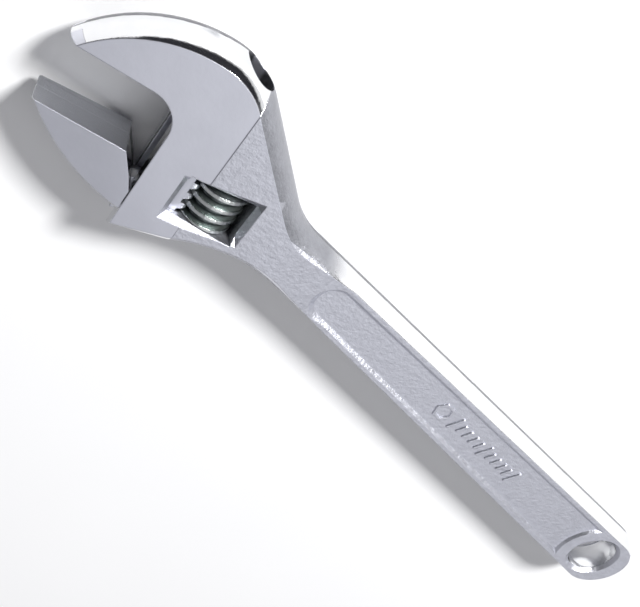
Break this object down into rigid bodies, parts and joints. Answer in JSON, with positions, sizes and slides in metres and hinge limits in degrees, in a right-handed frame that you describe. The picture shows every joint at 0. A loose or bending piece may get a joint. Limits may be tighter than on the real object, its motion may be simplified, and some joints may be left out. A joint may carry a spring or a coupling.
{
  "type": "adjustable wrench",
  "caption": "Drop forged adjustable wrench with a sliding jaw on a toothed rack, set by a thumb screw in the head, with a recessed handle and a hanging hole.",
  "frame": {"origin": "middle of the hanging hole, at half the handle's thickness", "axes": "+X runs up the handle towards the head, +Z comes out of the broad face along the hanging hole, +Y points to the sliding jaw's side"},
  "size_m": [0.2534, 0.0527, 0.0156],
  "materials": {
    "chrome_forging": "satin chrome on the faces, polished on the rim",
    "chrome_jaw": "satin chrome, polished on the back",
    "zinc_screw": "zinc plated",
    "zinc_pin": "zinc plated",
    "spring_steel": "oiled spring wire"
  },
  "bodies": {
    "body": {"wrench_body": "chrome_forging", "worm_pin": "zinc_pin", "worm_spring": "spring_steel"},
    "jaw": {"movable_jaw": "chrome_jaw"},
    "worm": {"adjusting_worm": "zinc_screw"}
  },
  "joints": [
    {"name": "jaw_slide", "type": "slide", "parent": "body", "child": "jaw", "axis": [-0.3007, 0.9537, 0], "range_m": [-0.0157, 0.012]},
    {"name": "worm_spin", "type": "hinge", "parent": "body", "child": "worm", "pos_m": [0.187, 0.00277, 0], "axis": [-0.3007, 0.9537, 0], "range_deg": [-1360, 1780]}
  ],
  "couplings": [
    {"joint": "worm_spin", "follows": "jaw_slide", "rad_per_m": -1963.5}
  ]
}
